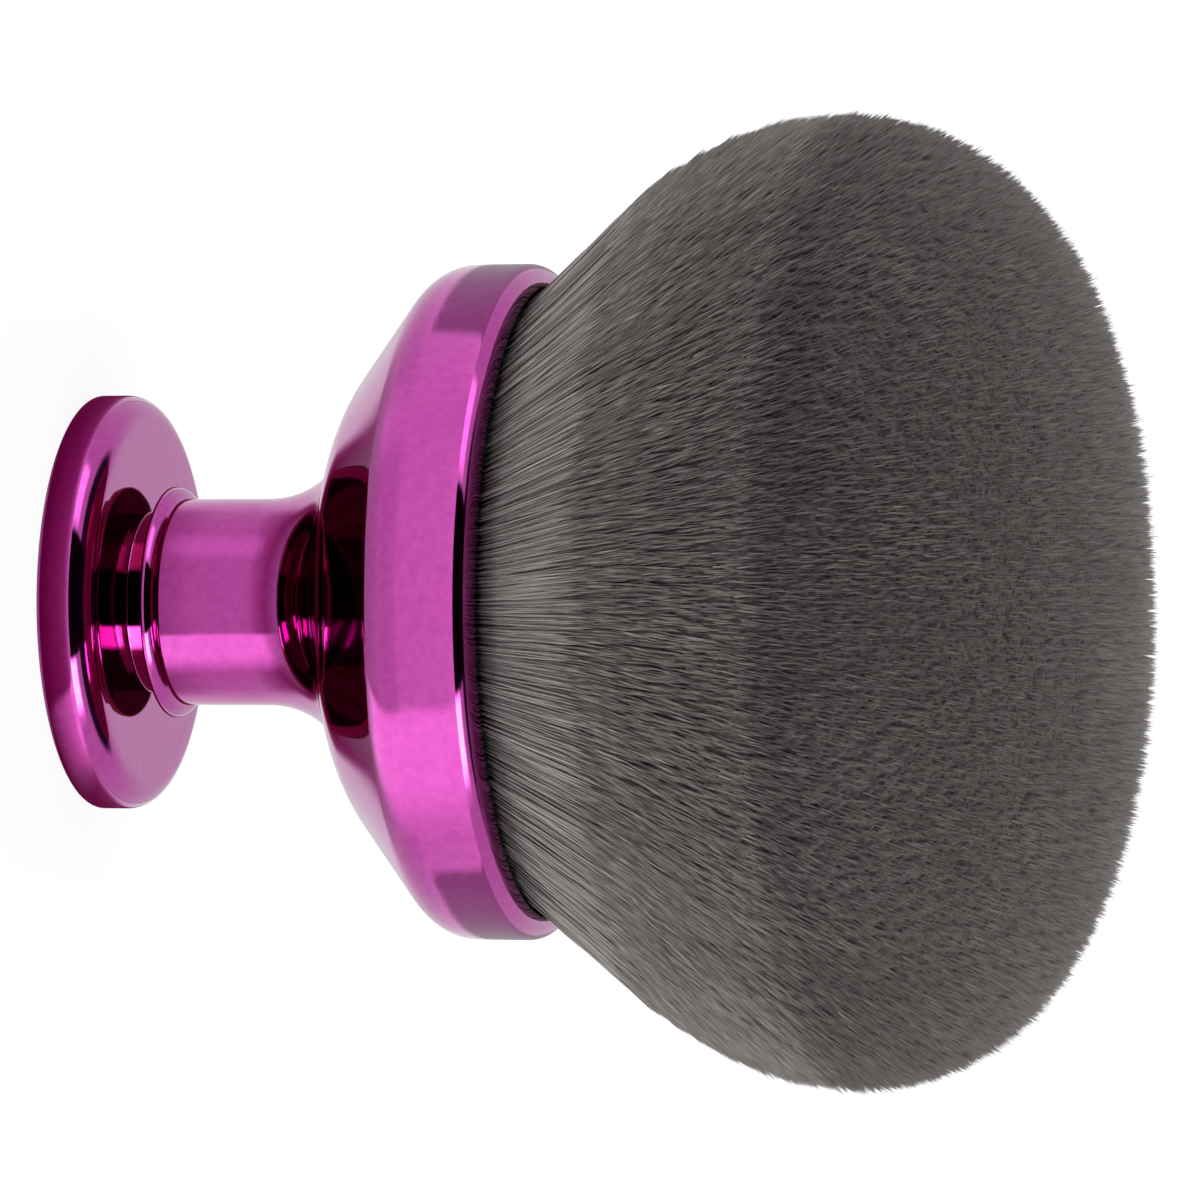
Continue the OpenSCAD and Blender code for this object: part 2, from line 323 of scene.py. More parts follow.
@dataclass(frozen=True)
class PackedFibre:
    """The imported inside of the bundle: strands side by side, seen as depth between outer fibres."""

    dark: str = "#332F2E"
    pale: str = "#5C5654"
    strand_mm: float = 0.3
    fan_mm: float = -4.0
    fan_radius_mm: float = 60.0
    mouth_mm: float = 39.5
    mouth_band_mm: float = 4.0
    # Painted shade at the bell's mouth
    mouth_shade: str = "#060505"

    def material(self) -> Material:
        """Builds the material.

        Returns:
            The node material.
        """
        made, tree, output = new_material("packed_fibre_charcoal")
        place = add_node(tree, "TexCoord").outputs["Object"]
        # The strands fan out from a point low in the handle, and each lies in one direction from it
        way = add_node(tree, "VectorMath", {
            0: place, 1: (0, 0, self.fan_mm * MM)}, operation="SUBTRACT").outputs[0]
        flat = add_node(tree, "VectorMath", {0: way}, operation="NORMALIZE").outputs[0]
        wide = add_node(tree, "VectorMath", {
            0: flat, "Scale": self.fan_radius_mm * MM}, operation="SCALE").outputs[0]
        along = add_node(tree, "VectorMath", {
            0: way, 1: (0.12, 0.12, 0.12), 2: wide}, operation="MULTIPLY_ADD").outputs[0]
        strands = add_node(tree, "TexNoise", {
            "Vector": along, "Scale": 1 / (self.strand_mm * MM), "Detail": 2.0})
        bump = add_node(tree, "Bump", {
            "Height": strands.outputs["Fac"], "Distance": 0.2 * MM, "Strength": 0.8})
        shade = add_node(tree, "ValToRGB", {"Fac": strands.outputs["Fac"]})
        shade.color_ramp.elements[0].position, shade.color_ramp.elements[1].position = 0.35, 0.65
        shade.color_ramp.elements[0].color = linear(self.dark)
        shade.color_ramp.elements[1].color = linear(self.pale)
        # Painted shade: between the rims of bell and bundle the strands are packed too tight for light to
        # reach, so they are painted near black
        height = add_node(tree, "SeparateXYZ", {0: place}).outputs["Z"]
        open_to_light = add_node(tree, "MapRange", {
            "Value": height, "From Min": self.mouth_mm * MM,
            "From Max": (self.mouth_mm + self.mouth_band_mm) * MM}).outputs[0]
        depth = add_node(tree, "Mix", {
            0: open_to_light, 6: linear(self.mouth_shade), 7: shade.outputs["Color"]}, data_type="RGBA").outputs[2]
        shader = add_node(tree, "BsdfPrincipled", {
            "Base Color": depth, "Roughness": 0.6, "Normal": bump.outputs["Normal"]})
        tree.links.new(shader.outputs["BSDF"], output.inputs["Surface"])
        return made


# Lathe work for the handle


class Outline:
    """A turner's outline in millimetres, drawn stroke by stroke in the XZ plane, X being the radius."""

    def __init__(self, radius: float, height: float) -> None:
        """Starts the outline at one point."""
        self.bm = bmesh.new()
        self.start = self.pen = self.bm.verts.new((radius * MM, 0, height * MM))

    def line_to(self, radius: float, height: float, parts: int = 1) -> "Outline":
        """Draws a straight stroke.

        Args:
            radius: Radius at the stroke's end.
            height: Height at the stroke's end.
            parts: How many edges the stroke has, so that shading stays true on a wide flat.

        Returns:
            The outline.
        """
        way = (Vector((radius * MM, 0, height * MM)) - self.pen.co) / parts
        for _ in range(parts):
            self.pen = bmesh.ops.extrude_vert_indiv(self.bm, verts=[self.pen])["verts"][0]
            bmesh.ops.translate(self.bm, verts=[self.pen], vec=way)
        return self

    def arc(self, radius: float, height: float, degrees: float, steps: int = 14) -> "Outline":
        """Draws an arc round a centre, anticlockwise where the angle is positive.

        Args:
            radius: Radius of the arc's centre, from the brush's axis.
            height: Height of the arc's centre.
            degrees: Angle that the arc runs through.
            steps: How many edges it has.

        Returns:
            The outline.
        """
        drawn = bmesh.ops.spin(
            self.bm, geom=[self.pen], cent=(radius * MM, 0, height * MM), axis=(0, -1, 0),
            angle=math.radians(degrees), steps=steps, use_merge=False, use_duplicate=False)
        self.pen = next(g for g in drawn["geom_last"] if isinstance(g, bmesh.types.BMVert))
        return self

    def turned(self, steps: int = 176, closed: bool = True) -> Mesh:
        """Spins the outline into a solid.

        Args:
            steps: How many faces go round.
            closed: Whether the outline is closed back to its start; if not, it ends on the axis.

        Returns:
            The finished mesh.
        """
        bm = self.bm
        if closed:
            bmesh.ops.contextual_create(bm, geom=[self.pen, self.start])
        bmesh.ops.spin(
            bm, geom=bm.verts[:] + bm.edges[:], cent=(0, 0, 0), axis=(0, 0, 1), angle=2 * math.pi,
            steps=steps, use_merge=True, use_duplicate=False)
        bmesh.ops.remove_doubles(bm, verts=bm.verts, dist=0.002 * MM)
        bmesh.ops.recalc_face_normals(bm, faces=bm.faces)
        for face in bm.faces:
            face.smooth = True
        for edge in bm.edges:
            edge.smooth = not edge.is_manifold or edge.calc_face_angle(0.0) < math.radians(32)
        mesh = bpy.data.meshes.new("turned")
        bm.to_mesh(mesh)
        bm.free()
        return mesh


@dataclass
class PalmDisc:
    """The round palm disc with its recessed neck, bead and the spigot for the stem."""

    radius: float = 17.6
    thickness: float = 4.6
    back_round: float = 0.5
    front_round: float = 2.1
    foot_round: float = 0.12
    neck_radius: float = 7.6
    neck_top: float = 6.45
    bead_radius: float = 9.8
    bead_height: float = 1.35
    bead_edge: float = 0.2
    spigot_radius: float = 6.75
    spigot_top: float = 10.6
    pocket_radius: float = 3.0
    pocket_floor: float = 4.7

    def build(self, finish: Material) -> None:
        """Builds and dresses the disc.

        Args:
            finish: The handle's material.
        """
        bead_top = self.neck_top + self.bead_height
        bead = self.bead_height - self.bead_edge
        edge = self.radius - self.back_round
        rim = self.radius - self.front_round
        line = Outline(0, 0).line_to(edge, 0, parts=10).arc(edge, self.back_round, 90, steps=8)
        line.line_to(self.radius, self.thickness - self.front_round, parts=3)
        line.arc(rim, self.thickness - self.front_round, 90)
        line.line_to(self.neck_radius + self.foot_round, self.thickness, parts=6)
        line.arc(self.neck_radius + self.foot_round, self.thickness + self.foot_round, -90, steps=5)
        line.line_to(self.neck_radius, self.neck_top)
        line.line_to(self.bead_radius - self.bead_edge, self.neck_top)
        line.arc(self.bead_radius - self.bead_edge, self.neck_top + self.bead_edge, 90, steps=6)
        line.arc(self.bead_radius - bead, self.neck_top + self.bead_edge, 90, steps=16)
        line.line_to(self.spigot_radius, bead_top).line_to(self.spigot_radius, self.spigot_top)
        line.line_to(self.pocket_radius, self.spigot_top).line_to(self.pocket_radius, self.pocket_floor)
        line.line_to(0, self.pocket_floor)
        keep("palm_disc", line.turned(closed=False), finish, "plated_handle", "base_disc")


@dataclass
class Stem:
    """The hollow grip, straight at the disc and flared at the bell."""

    radius: float = 8.76
    bore: float = 6.85
    foot: float = 7.8
    top: float = 22.33
    flare_radius: float = 8.3
    flare_length: float = 7.26

    def build(self, finish: Material) -> None:
        """Builds and dresses the stem.

        Args:
            finish: The handle's material.
        """
        flare = math.degrees(math.asin(self.flare_length / self.flare_radius))
        line = Outline(self.bore, self.foot).line_to(self.radius, self.foot)
        line.line_to(self.radius, self.top - self.flare_length, parts=4)
        line.arc(self.radius + self.flare_radius, self.top - self.flare_length, -flare, steps=18)
        line.line_to(self.bore, self.top)
        keep("stem", line.turned(), finish, "plated_handle", "stem")


@dataclass
class Bell:
    """The flared bell that holds the fibre bundle, with a rounded lip and a floor for the screw."""

    radius: float = 28.3
    wall: float = 2.0
    seam_radius: float = 13.038
    seam: float = 22.33
    floor: float = 23.63
    lip: float = 39.7
    neck_slope: float = 75.0
    back_slope: float = 52.5
    belly_start: float = 15.0
    belly_radius: float = 14.8
    shoulder_radius: float = 4.2
    lip_inner_round: float = 0.3
    spigot_radius: float = 6.75
    spigot_foot: float = 19.2
    screw_hole: float = 2.25

    def build(self, finish: Material) -> None:
        """Builds and dresses the bell.

        Args:
            finish: The handle's material.
        """
        neck, back = math.radians(self.neck_slope), math.radians(self.back_slope)
        turn = self.neck_slope - self.back_slope
        belly_z = self.seam + (self.belly_start - self.seam_radius) / math.tan(neck)
        # Centres of the two curves in the back; the belly's lies inside, towards the axis
        centre_r = self.belly_start - self.belly_radius * math.cos(neck)
        centre_z = belly_z + self.belly_radius * math.sin(neck)
        end_r = centre_r + self.belly_radius * math.cos(back)
        end_z = centre_z - self.belly_radius * math.sin(back)
        shoulder_r = self.radius - self.shoulder_radius
        foot_r = shoulder_r + self.shoulder_radius * math.cos(back)
        foot_z = end_z + (foot_r - end_r) / math.tan(back)
        shoulder_z = foot_z + self.shoulder_radius * math.sin(back)
        outer_round = self.wall - self.lip_inner_round
        bore = self.radius - self.wall
        inner_belly = self.belly_radius - self.wall

        line = Outline(self.spigot_radius, self.seam).line_to(self.seam_radius, self.seam)
        line.line_to(self.belly_start, belly_z, parts=3).arc(centre_r, centre_z, turn, steps=16)
        line.line_to(foot_r, foot_z, parts=5).arc(shoulder_r, shoulder_z, self.back_slope, steps=20)
        line.line_to(self.radius, self.lip - outer_round, parts=4)
        line.arc(self.radius - outer_round, self.lip - outer_round, 90, steps=12)
        line.arc(bore + self.lip_inner_round, self.lip - self.lip_inner_round, 90, steps=8)
        line.line_to(bore, shoulder_z, parts=3).arc(shoulder_r, shoulder_z, -self.back_slope)
        line.line_to(
            centre_r + inner_belly * math.cos(back), centre_z - inner_belly * math.sin(back), parts=4)
        line.arc(centre_r, centre_z, -turn, steps=10)
        line.line_to(self.seam_radius - self.wall * math.cos(neck), self.floor)
        line.line_to(self.screw_hole, self.floor).line_to(self.screw_hole, self.spigot_foot)
        line.line_to(self.spigot_radius, self.spigot_foot)
        keep("bell", line.turned(steps=224), finish, "plated_handle", "bell")


# The fibre head


class Layer(Enum):
    """Which fibres a set holds, as shares of the bundle's radius, from inner to outer."""

    DOME = (0.0, 0.82)
    SIDE = (0.80, 0.955)
    RIM = (0.95, 1.0)


@dataclass
class HeadShape:
    """Where the fibres run: from the bell's mouth to a domed surface, all sizes in millimetres."""

    radius: float = 40.4
    top: float = 89.5
    widest: float = 64.5
    lip: float = 39.7
    mouth_radius: float = 25.7
    dome_power: float = 2.36
    skirt_inset: float = 14.86
    skirt_power: float = 1.8
    lowest_tip: float = 50.0
    lean: float = 0.03
    lean_from_lip: float = 14.0
    curve: np.ndarray = field(init=False)
    area: np.ndarray = field(init=False)

    def __post_init__(self) -> None:
        """Lays out the surface of the tips, from the dome's top to the lowest tips, with its area."""
        a = np.linspace(0, math.pi / 2, 160)
        share = 2 / self.dome_power
        dome = np.stack([self.radius * np.sin(a) ** share,
                         self.widest + (self.top - self.widest) * np.cos(a).clip(0) ** share], 1)
        z = np.linspace(self.widest, self.lowest_tip, 60)[1:]
        self.curve = np.concatenate([dome, np.stack([self.skirt_radius(z), z], 1)])
        step = np.linalg.norm(np.diff(self.curve, axis=0), axis=1)
        ring = (self.curve[1:, 0] + self.curve[:-1, 0]) * step
        self.area = np.concatenate([[0], np.cumsum(ring)]) / ring.sum()

    def skirt_radius(self, z: np.ndarray) -> np.ndarray:
        """Radius of the head below its widest place.

        Args:
            z: Heights.

        Returns:
            Radii.
        """
        drop = (self.widest - z) / (self.widest - self.lip)
        return self.radius - self.skirt_inset * np.abs(drop) ** self.skirt_power

    def tips(self, share: np.ndarray) -> np.ndarray:
        """Where fibres end, spread evenly over the surface.

        Args:
            share: Each fibre's share of the bundle's radius.

        Returns:
            Radius and height of each tip.
        """
        grown = np.clip(share, 0, 1) ** 2
        return np.stack([np.interp(grown, self.area, self.curve[:, k]) for k in (0, 1)], 1)

    def leaned(self, points: np.ndarray) -> np.ndarray:
        """Leans the head a little to one side, as the cut of the real one does.

        Args:
            points: Places in millimetres, the last axis being x, y, z.

        Returns:
            The places, moved along x above the lip.
        """
        held = np.clip((points[..., 2] - self.lip) / self.lean_from_lip, 0, 1)
        points[..., 0] += self.lean * (points[..., 2] - self.widest) * held**2 * (3 - 2 * held)
        return points

    def under(self, depth: float, steps: int = 40) -> list[tuple[float, float]]:
        """Outline a given depth under the tips, from the lip up to the axis.

        Args:
            depth: Depth under the surface.
            steps: How many points it has.

        Returns:
            Radius and height of each point.
        """
        low = np.linspace(self.lip, self.lowest_tip, 8)[:-1]
        line = np.concatenate([np.stack([self.skirt_radius(low), low], 1), self.curve[::-1]])
        way = np.gradient(line, axis=0)
        normal = np.stack([way[:, 1], -way[:, 0]], 1)
        normal /= np.linalg.norm(normal, axis=1)[:, None]
        inner = line - normal * depth
        inner[-1] = (0, self.top - depth)
        pick = np.unique(np.round(np.linspace(0, len(inner) - 1, steps)).astype(int))
        return [(float(max(r, 0)), float(z)) for r, z in inner[pick]]


# Prime sizes of the table of locks of hair, so that its repeats never line up
LOCK_TABLE = (61, 59, 53)


@dataclass
class FibreSet:
    """Thousands of single tapered fibres of one layer, within the sectors of the head.

    Attributes:
        stations: Shares of a fibre's length where it has a ring of points; below zero is under the lip.
        thickness: Half its thickness at each station, in millimetres.
        built: Length that is built, from the tip down; the whole fibre where there is none.
        ragged: Mean length by which fibres end short.
        lock: How far tips lean into their lock of hair, and lock_size how wide a lock is.
        lit_at: Stations where a fibre comes out of the mouth's painted shade, and lit_share its tone there.
    """

    name: str
    layer: Layer
    count: int
    stations: tuple[float, ...]
    thickness: tuple[float, ...]
    seed: int
    built: float | None = None
    sectors: int = 1
    sides: int = 3
    ragged: float = 0.4
    lock: float = 0.2
    lock_size: float = 1.3
    # The sets' tones differ as painted light: higher as painted sheen on the side and rim, lower as painted
    # shade on the dome
    tone: float = 0.5
    swell: float = 0.2
    uneven: float = 0.16
    tip_stray: float = 0.06
    foot_stray: float = 0.022
    bend: float = 0.05
    root_taper: float = 0.05
    root_depth: float = 4.0
    lit_at: tuple[float, ...] = (0.0, 0.07, 0.22)
    lit_share: tuple[float, ...] = (0.0, 0.4, 1.0)

    def template(self) -> tuple[np.ndarray, np.ndarray]:
        """Shapes one straight fibre by extruding a small triangle, and draws its end to a point.

        Returns:
            Its vertices, with the station's number as height, and its triangles.
        """
        bm = bmesh.new()
        bmesh.ops.create_circle(bm, cap_ends=True, segments=self.sides, radius=1.0)
        end = bm.faces[:]
        for _ in self.stations[1:]:
            out = bmesh.ops.extrude_face_region(bm, geom=end)["geom"]
            end = [g for g in out if isinstance(g, bmesh.types.BMFace)]
            bmesh.ops.translate(bm, verts=end[0].verts, vec=(0, 0, 1))
        tip = Vector((0, 0, len(self.stations) - 1))
        bmesh.ops.pointmerge(bm, verts=end[0].verts[:], merge_co=tip)
        bmesh.ops.recalc_face_normals(bm, faces=bm.faces)
        bmesh.ops.triangulate(bm, faces=bm.faces[:])
        bm.verts.index_update()
        verts = np.array([v.co[:] for v in bm.verts])
        faces = np.array([[v.index for v in f.verts] for f in bm.faces])
        bm.free()
        return verts, faces

    def runs(
        self, shape: HeadShape, rng: np.random.Generator, sector: int,
    ) -> tuple[np.ndarray, np.ndarray]:
        """Lays out the run of every fibre.

        Args:
            shape: The head's shape.
            rng: The seeded source of chance.
            sector: Which sector of the head.

        Returns:
            Points of each fibre at its stations, in millimetres, and each fibre's tone.
        """
        low, high = self.layer.value
        n = self.count // self.sectors
        share = np.sqrt(rng.uniform(low**2, high**2, n))
        turn = (sector + rng.uniform(0, 1, n)) * 2 * math.pi / self.sectors
        across = np.stack([np.cos(turn), np.sin(turn)], 1)

        # Low swells in the cut surface, and single fibres that end above or below it
        swell = np.array([noise.noise(Vector((x * 7, y * 7, 3.1))) for x, y in across * share[:, None]])
        cut = self.swell * swell + rng.normal(0, self.uneven, n) - rng.exponential(self.ragged, n)
        mouth = np.stack([shape.mouth_radius * share, np.full(n, shape.lip)], 1)
        tip = shape.tips(share)
        way = tip - mouth
        way /= np.linalg.norm(way, axis=1)[:, None]
        tip = tip + way * cut[:, None]
        foot = mouth if self.built is None else tip - way * self.built

        def around(flat: np.ndarray) -> np.ndarray:
            """Places of radius and height, turned to each fibre's side of the head."""
            return np.concatenate([across * flat[:, :1], flat[:, 1:]], 1)

        # Tips lean together into small locks, and every fibre strays a little from its neighbours
        end, start = around(tip), around(foot)
        at = np.floor(end / self.lock_size).astype(int)
        table = rng.uniform(-0.5, 0.5, (3, *LOCK_TABLE))
        where = tuple(at[:, k] % size for k, size in enumerate(LOCK_TABLE))
        centre = (at + 0.5 + 0.5 * np.stack([table[k][where] for k in range(3)], 1)) * self.lock_size
        end += (centre - end) * self.lock * rng.uniform(0.4, 1.4, n)[:, None]
        end += rng.normal(0, self.tip_stray, end.shape)
        reach = np.linalg.norm(end - start, axis=1)[:, None]
        start += rng.normal(0, self.foot_stray, end.shape) * np.minimum(reach, 6)

        points = []
        for t in self.stations:
            if t < 0:
                points.append(around(mouth * [1 + self.root_taper * t, 1] + [0, self.root_depth * t]))
                continue
            stray = rng.normal(0, self.bend, end.shape) * math.sin(math.pi * t)
            points.append(start + (end - start) * t + stray)
        tone = self.tone + 0.07 * rng.normal(0, 1, n) + 0.1 * swell + 0.08 * table[0][where]
        return shape.leaned(np.stack(points, 1)), np.clip(tone, 0.15, 1)

    def build(self, shape: HeadShape, finish: Material, *nodes: str) -> None:
        """Builds and dresses the fibres, one piece a sector.

        Args:
            shape: The head's shape.
            finish: The fibre's material.
            *nodes: CAD nodes that the pieces stand for.
        """
        verts, faces = self.template()
        station = np.rint(verts[:, 2]).astype(int)
        for sector in range(self.sectors):
            rng = np.random.default_rng(self.seed * 100 + sector)
            run, tone = self.runs(shape, rng, sector)
            n = len(run)
            way = run[:, -1] - run[:, 0]
            way /= np.linalg.norm(way, axis=1)[:, None]
            across = np.cross(way, rng.normal(0, 1, (n, 3)))
            across /= np.linalg.norm(across, axis=1)[:, None]
            other = np.cross(way, across)
            thick = np.array(self.thickness)[station] * rng.uniform(0.75, 1.25, n)[:, None]
            co = run[:, station] + thick[..., None] * (
                verts[:, 0][None, :, None] * across[:, None] + verts[:, 1][None, :, None] * other[:, None])
            loops = (faces[None] + (np.arange(n) * len(verts))[:, None, None]).reshape(-1)
            mesh = bpy.data.meshes.new(self.name)
            mesh.vertices.add(n * len(verts))
            mesh.vertices.foreach_set("co", (co * MM).astype(np.float32).ravel())
            mesh.loops.add(len(loops))
            mesh.loops.foreach_set("vertex_index", loops.astype(np.int32))
            mesh.polygons.add(len(loops) // 3)
            mesh.polygons.foreach_set("loop_start", np.arange(0, len(loops), 3, dtype=np.int32))
            mesh.polygons.foreach_set("use_smooth", np.ones(len(loops) // 3, dtype=bool))
            mesh.update(calc_edges=True)
            # Painted shade: packed at the bell's mouth, a fibre is painted dark; a little above it has its
            # own tone
            out = np.ones(len(self.stations))
            if self.built is None:
                out = np.interp(self.stations, self.lit_at, self.lit_share)
            mesh.attributes.new("fibre_tone_and_shade", "FLOAT", "POINT").data.foreach_set(
                "value", (tone[:, None] * out[station]).astype(np.float32).ravel())
            keep(f"{self.name}_{sector + 1}", mesh, finish, "fibre", *nodes)


@dataclass
class FibreHead:
    """The whole head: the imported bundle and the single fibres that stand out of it."""

    shape: HeadShape = field(default_factory=HeadShape)
    bundle_depth: float = 1.1
    bundle_foot: float = 33.2
    bundle_foot_radius: float = 21.5

    def bundle(self, finish: Material) -> None:
        """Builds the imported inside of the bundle.

        Args:
            finish: The packed fibre's material.
        """
        line = Outline(0, self.bundle_foot).line_to(self.bundle_foot_radius, self.bundle_foot, parts=4)
        for r, z in self.shape.under(self.bundle_depth):
            line.line_to(r, z)
        mesh = line.turned(steps=128, closed=False)
        for v in mesh.vertices:
            x, y, z = self.shape.leaned(np.array(v.co[:]) / MM)
            v.co = Vector((x, y, z)) * MM
        keep("packed_bundle", mesh, finish, "fibre", "bristles_core")

    def build(self) -> None:
        """Builds and dresses the whole head."""
        self.bundle(PackedFibre().material())
        fibre = FineFibre().material()
        # Tones: the dome's low tone is painted shade between the tips, the side and rim fibres' high tones
        # painted sheen
        dome = FibreSet(
            "dome_fibres", Layer.DOME, 90000, stations=(0.0, 0.55, 1.0), thickness=(0.15, 0.1, 0.0),
            seed=3, built=3.6, sectors=6, ragged=0.35, tone=0.43)
        side = FibreSet(
            "side_fibres", Layer.SIDE, 34000, stations=(0.0, 0.6, 1.0), thickness=(0.12, 0.095, 0.0),
            seed=5, built=6.0, sectors=3, ragged=0.6, tone=0.7)
        rim = FibreSet(
            "rim_fibres", Layer.RIM, 12000, stations=(-1.0, 0.0, 0.07, 0.22, 0.45, 0.85, 1.0),
            thickness=(0.08, 0.08, 0.08, 0.08, 0.085, 0.085, 0.0),
            seed=7, sectors=3, ragged=1.2, tone=0.74)
        dome.build(self.shape, fibre, "bristles_core", "bristles_middle")
        side.build(self.shape, fibre, "bristles_middle", "bristles_outer")
        rim.build(self.shape, fibre, "bristles_outer")


# Inner parts, which keep the CAD's own shape


def dress_inner_parts() -> None:
    """Gives every inner part its material, on the CAD's own mesh."""
    for finish, parts in (
        (TurnedMetal("turned_brass", "#C9A35A", 0.24), ("foot_insert",)),
        (TurnedMetal("zinc_plated_steel", "#A9ADB3", 0.32), ("stem_weight", "tie_screw", "screw_washer")),
        (MouldedPlastic(), ("bristle_cup",)),
        (SetEpoxy(), ("glue_bed",)),
    ):
        material = finish.material()
        for part in parts:
            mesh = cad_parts[part].data
            mesh.materials.clear()
            mesh.materials.append(material)
            log.info("%s: %s", part, material.name)


# The studio


@dataclass
class Lamp:
    """One soft rectangular lamp that looks at the brush."""

    name: str
    azimuth: float
    elevation: float
    distance: float
    width: float
    height: float
    power: float

    def place(self, target: Vector) -> None:
        """Makes the lamp and aims it.

        Args:
            target: The point that it looks at.
        """
        data = bpy.data.lights.new(self.name, "AREA")
        data.shape = "RECTANGLE"
        data.size, data.size_y = self.width, self.height
        data.energy = self.power
        made = bpy.data.objects.new(self.name, data)
        bpy.context.scene.collection.objects.link(made)
        a, e = math.radians(self.azimuth), math.radians(self.elevation)
        way = Vector((math.sin(a) * math.cos(e), -math.cos(a) * math.cos(e), math.sin(e)))
        made.location = target + way * self.distance
        made.rotation_mode = "QUATERNION"
        made.rotation_quaternion = way.to_track_quat("Z", "Y")
        made.visible_camera = False
        made.visible_glossy = False


@dataclass(frozen=True)
class SkyPatch:
    """A soft-edged patch of light in the sky.

    Attributes:
        azimuths: Where it starts and ends, in degrees from the camera's side.
        edges: Half the width of its soft edges there, in degrees.
        heights: Sine of the elevation where it starts and ends.
        blur: Half the width of its soft edges there.
        level: Its strength.
    """

    azimuths: tuple[float, float]
    edges: tuple[float, float]
    heights: tuple[float, float]
    blur: float
    level: float


@dataclass(frozen=True)
class PaperPatch:
    """A lamp's light on the paper, as the polished handle sees it.

    Attributes:
        azimuths: Where it starts and ends, in degrees from the camera's side.
        edges: Half the width of its soft edges there, in degrees.
        rises: Distances from the axis, in millimetres, where it begins and where it is full.
        level: Its strength.
    """

    azimuths: tuple[float, float]
    edges: tuple[float, float]
    rises: tuple[float, float]
    level: float


LAMPS = (
    Lamp("key_lamp", azimuth=60, elevation=10, distance=0.75, width=0.3, height=0.5, power=3.1),
    Lamp("fill_lamp", azimuth=-64, elevation=10, distance=0.9, width=0.5, height=0.6, power=4.0),
    Lamp("top_lamp", azimuth=180, elevation=66, distance=0.8, width=0.5, height=0.5, power=3.6),
)
# What dull surfaces see: the fill, the dark behind the camera, and the key
DULL_SKY = (
    SkyPatch((-75, -42), (5, 5), (-1, 0.8), 0.08, 0.9),
    SkyPatch((-40, 31), (2, 2), (0.03, 0.97), 0.02, 0.006),
    SkyPatch((33, 66), (3, 10), (-1, 0.75), 0.06, 1.75),
)
# What polished metal sees: fill and key as low windows, a dark ceiling, and the dark behind the camera
MIRRORED_SKY = (
    SkyPatch((-80, -44), (4, 6), (-1, 0.42), 0.06, 2.0),
    SkyPatch((33, 66), (3, 10), (-1, 0.45), 0.06, 1.75),
    SkyPatch((-400, 400), (1, 1), (0.68, 2), 0.05, 0.02),
    SkyPatch((-40, 31), (2, 2), (0.03, 2), 0.02, 0.004),
)
KEY_WINDOW = SkyPatch((32, 60), (3, 6), (-0.04, 0.4), 0.04, 5.0)
KEY_ON_PAPER = PaperPatch((33, 68), (2.5, 14), (18, 30), 1.4)
FILL_ON_PAPER = PaperPatch((-70, -48), (8, 8), (30, 42), 0.82)
# Painted shade and painted reflection on the paper as polished metal sees it, by distance from the axis in
# millimetres: dark in the head's shade near the foot and tinted with the disc's colour beside the disc
PAPER_SHADE_AND_REFLECTION = (
    (19, (0.15, 0.01, 0.07)), (24, (0.28, 0.07, 0.18)), (28, (0.38, 0.2, 0.3)),
    (36, (0.5, 0.42, 0.47)), (44, (0.64, 0.6, 0.62)), (90, (0.7, 0.7, 0.7)),
    (150, (0.85, 0.85, 0.85)), (240, (0.95, 0.95, 0.95)),
)


